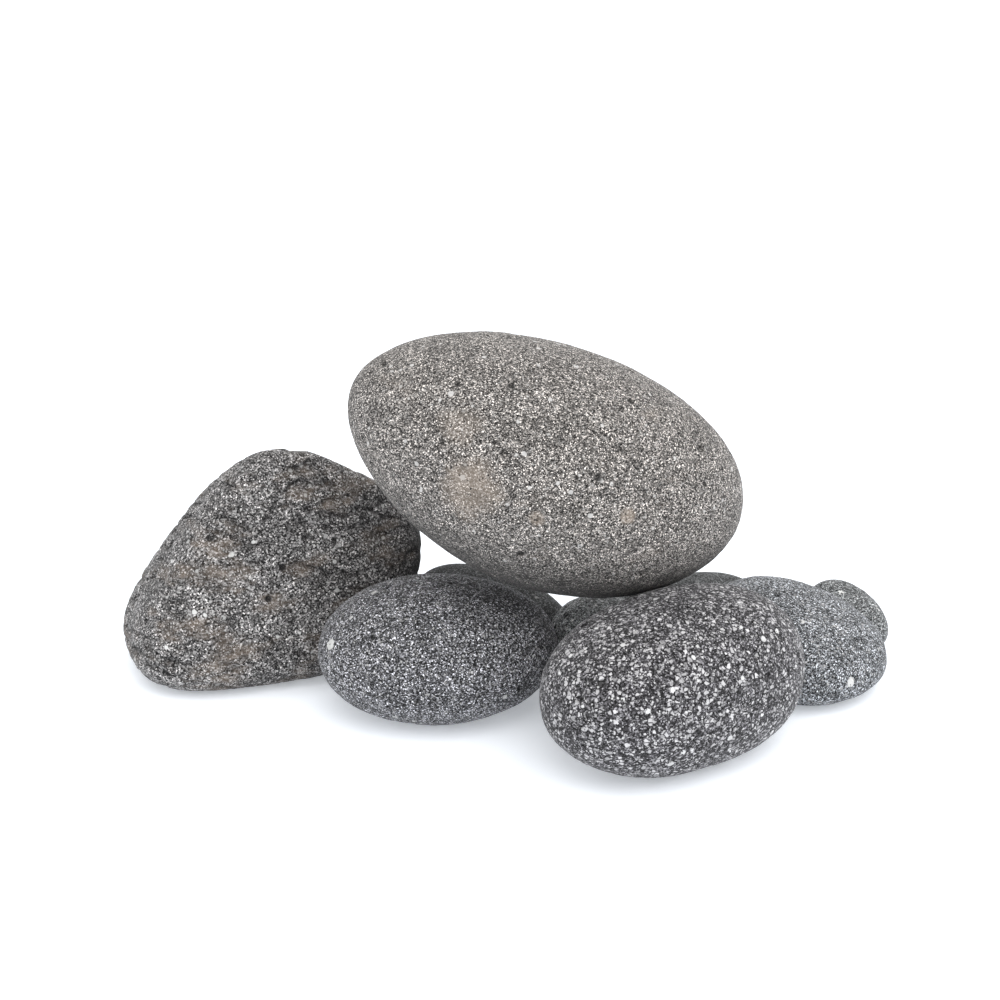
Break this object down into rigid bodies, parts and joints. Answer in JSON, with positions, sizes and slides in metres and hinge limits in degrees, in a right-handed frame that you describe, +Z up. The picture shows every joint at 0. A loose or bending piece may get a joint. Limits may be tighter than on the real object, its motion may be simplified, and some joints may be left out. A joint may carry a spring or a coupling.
{
  "type": "basalt massage stone set",
  "caption": "Loose tumbled basalt stones for hot stone massage, lying in a pile with the largest tilted on top of the others.",
  "frame": {"origin": "on the table, under the middle of the whole pile's box", "axes": "+X to the right along the pile's longest side, +Y to the back, +Z up"},
  "size_m": [0.2264, 0.1264, 0.1079],
  "materials": {
    "top_stone_basalt": "tumbled matte, fine grey grain with ochre blotches",
    "left_boulder_basalt": "rough matte, layered, with pale crystals",
    "front_centre_stone_basalt": "tumbled matte, fine dense grain with small pores",
    "front_right_stone_basalt": "tumbled matte, coarse white grains",
    "right_stone_basalt": "tumbled matte, fine grain",
    "rear_right_stone_basalt": "smooth matte, slightly green",
    "rear_middle_stone_basalt": "tumbled matte",
    "rear_left_stone_basalt": "tumbled matte, slightly brown",
    "centre_stone_basalt": "tumbled matte"
  },
  "bodies": {
    "top_stone": {"top_stone": "top_stone_basalt"},
    "left_boulder": {"left_boulder": "left_boulder_basalt"},
    "front_centre_stone": {"front_centre_stone": "front_centre_stone_basalt"},
    "front_right_stone": {"front_right_stone": "front_right_stone_basalt"},
    "right_stone": {"right_stone": "right_stone_basalt"},
    "rear_right_stone": {"rear_right_stone": "rear_right_stone_basalt"},
    "rear_middle_stone": {"rear_middle_stone": "rear_middle_stone_basalt"},
    "rear_left_stone": {"rear_left_stone": "rear_left_stone_basalt"},
    "centre_stone": {"centre_stone": "centre_stone_basalt"}
  },
  "joints": [
    {"name": "top_stone_lift", "type": "slide", "parent": "centre_stone", "child": "top_stone", "axis": [0, 0, 1], "range_m": [0, 0.12]},
    {"name": "left_boulder_draw", "type": "slide", "parent": "centre_stone", "child": "left_boulder", "axis": [-0.9994, 0.0349, 0], "range_m": [0, 0.1]},
    {"name": "front_centre_stone_draw", "type": "slide", "parent": "centre_stone", "child": "front_centre_stone", "axis": [-0.342, -0.9397, 0], "range_m": [0, 0.1]},
    {"name": "front_right_stone_draw", "type": "slide", "parent": "centre_stone", "child": "front_right_stone", "axis": [0.4384, -0.8988, 0], "range_m": [0, 0.1]},
    {"name": "right_stone_draw", "type": "slide", "parent": "centre_stone", "child": "right_stone", "axis": [0.788, -0.6157, 0], "range_m": [0, 0.1]},
    {"name": "rear_right_stone_draw", "type": "slide", "parent": "centre_stone", "child": "rear_right_stone", "axis": [0.6428, 0.766, 0], "range_m": [0, 0.1]},
    {"name": "rear_middle_stone_draw", "type": "slide", "parent": "centre_stone", "child": "rear_middle_stone", "axis": [0.1736, 0.9848, 0], "range_m": [0, 0.1]},
    {"name": "rear_left_stone_draw", "type": "slide", "parent": "centre_stone", "child": "rear_left_stone", "axis": [-0.1219, 0.9925, 0], "range_m": [0, 0.1]}
  ]
}
